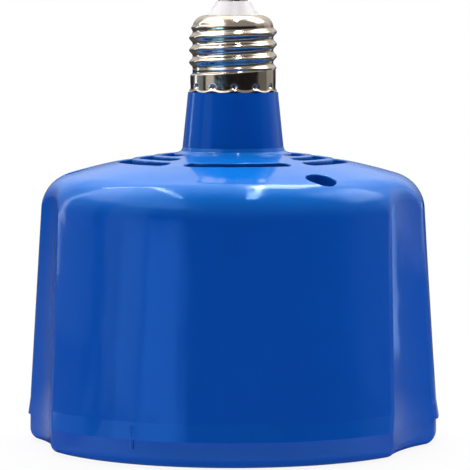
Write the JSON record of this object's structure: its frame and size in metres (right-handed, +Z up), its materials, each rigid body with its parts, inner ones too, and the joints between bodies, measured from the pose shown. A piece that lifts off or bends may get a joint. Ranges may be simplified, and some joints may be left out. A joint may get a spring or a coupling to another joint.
{
  "type": "heat lamp",
  "caption": "Screw-in warming lamp for animal pens: a round moulded barrel with a fan and heating coil, air slots, a tapered neck and a screw cap.",
  "frame": {"origin": "middle of the flat underside of the bottom cover", "axes": "+Z up along the screw cap's axis, -Y to the side that the picture shows, +X to its right"},
  "size_m": [0.1235, 0.1223, 0.1328],
  "materials": {
    "blue_shell": "glossy moulded blue, slightly wavy",
    "cap_metal": "bright nickel plate",
    "cap_white": "translucent white",
    "contact_metal": "tinned brass",
    "screw_steel": "zinc plated",
    "guard_wire": "plated wire",
    "sleeve_steel": "galvanised sheet",
    "duct_plastic": "black moulding",
    "fan_plastic": "dark moulding",
    "motor_steel": "zinc plated can",
    "bronze": "sintered bronze",
    "ferrite": "dark grey",
    "armature_steel": "laminated steel",
    "copper": "copper segments",
    "mica": "amber grey mica board",
    "coil_alloy": "heater alloy, dull",
    "steatite": "unglazed",
    "fuse_case": "drawn case",
    "circuit_board": "bare laminate",
    "diode_case": "black, moulded",
    "capacitor_case": "red brown film case",
    "live_cover": "brown silicone",
    "neutral_cover": "blue silicone"
  },
  "bodies": {
    "lamp": {"housing": "blue_shell", "bottom_cover": "blue_shell", "outlet_guard": "guard_wire", "case_screws": "screw_steel", "cap_shell": "cap_metal", "cap_insulator": "cap_white", "centre_contact": "contact_metal", "live_lead": "live_cover", "neutral_lead": "neutral_cover", "fan_duct": "duct_plastic", "duct_screws": "screw_steel", "motor_can": "motor_steel", "motor_end_cap": "duct_plastic", "motor_screws": "screw_steel", "front_bush": "bronze", "rear_bush": "bronze", "field_magnets": "ferrite", "heat_sleeve": "sleeve_steel", "mica_liner": "mica", "mica_board_wide": "mica", "mica_board_deep": "mica", "heating_coil": "coil_alloy", "coil_eyelets": "bronze", "thermal_fuse": "fuse_case", "cutout_base": "steatite", "cutout_blade": "copper", "cutout_contact": "copper", "rectifier_board": "circuit_board", "diodes": "diode_case", "filter_capacitor": "capacitor_case"},
    "rotor": {"motor_shaft": "screw_steel", "armature": "armature_steel", "commutator": "copper", "fan_impeller": "fan_plastic"}
  },
  "joints": [
    {"name": "fan_spin", "type": "hinge", "parent": "lamp", "child": "rotor", "pos_m": [0, 0, 0.0675], "axis": [0, 0, 1], "continuous": true}
  ]
}
